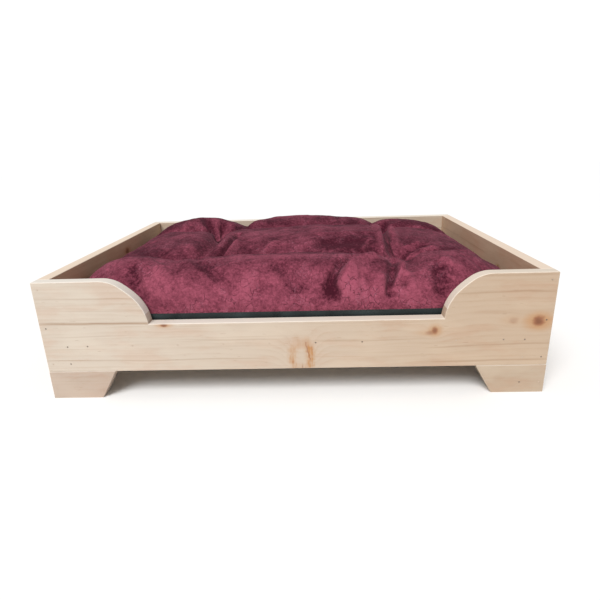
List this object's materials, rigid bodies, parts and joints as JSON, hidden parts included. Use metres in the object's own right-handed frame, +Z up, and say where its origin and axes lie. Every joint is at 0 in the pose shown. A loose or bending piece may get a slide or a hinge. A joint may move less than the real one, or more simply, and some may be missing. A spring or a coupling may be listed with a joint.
{
  "type": "dog bed with frame",
  "caption": "Low rectangular wooden pet bed frame on bracket feet, with a cut-down entry at the front, a slatted base and a thick tufted cushion that lifts out.",
  "frame": {"origin": "on the floor, under the middle of the frame", "axes": "+X to the right along the long side, +Y from the entry at the front to the back, +Z up"},
  "size_m": [0.8, 0.6, 0.2223],
  "materials": {
    "pine_board": "matte",
    "pine_foot": "matte",
    "pine_batten": "matte",
    "pine_slat": "matte",
    "brad_steel": "satin",
    "plush_velvet": "matte",
    "base_cloth": "matte",
    "fibre_filling": "matte",
    "tie_thread": "matte"
  },
  "bodies": {
    "frame": {"front_board": "pine_board", "back_board": "pine_board", "left_side_board": "pine_board", "right_side_board": "pine_board", "front_left_foot_front": "pine_foot", "front_left_foot_side": "pine_foot", "front_right_foot_front": "pine_foot", "front_right_foot_side": "pine_foot", "back_left_foot_back": "pine_foot", "back_left_foot_side": "pine_foot", "back_right_foot_back": "pine_foot", "back_right_foot_side": "pine_foot", "front_left_post": "pine_batten", "front_right_post": "pine_batten", "back_left_post": "pine_batten", "back_right_post": "pine_batten", "front_ledger": "pine_batten", "back_ledger": "pine_batten", "slat_1": "pine_slat", "slat_2": "pine_slat", "slat_3": "pine_slat", "slat_4": "pine_slat", "slat_5": "pine_slat", "slat_6": "pine_slat", "slat_7": "pine_slat", "slat_8": "pine_slat", "corner_brads": "brad_steel", "post_brads": "brad_steel", "foot_brads": "brad_steel", "ledger_brads": "brad_steel", "slat_brads": "brad_steel"},
    "cushion": {"cushion_cover": "plush_velvet", "cushion_base": "base_cloth", "cushion_filling": "fibre_filling", "cushion_ties": "tie_thread"}
  },
  "joints": [
    {"name": "cushion_lift", "type": "slide", "parent": "frame", "child": "cushion", "axis": [0, 0, 1], "range_m": [0, 0.15]}
  ]
}
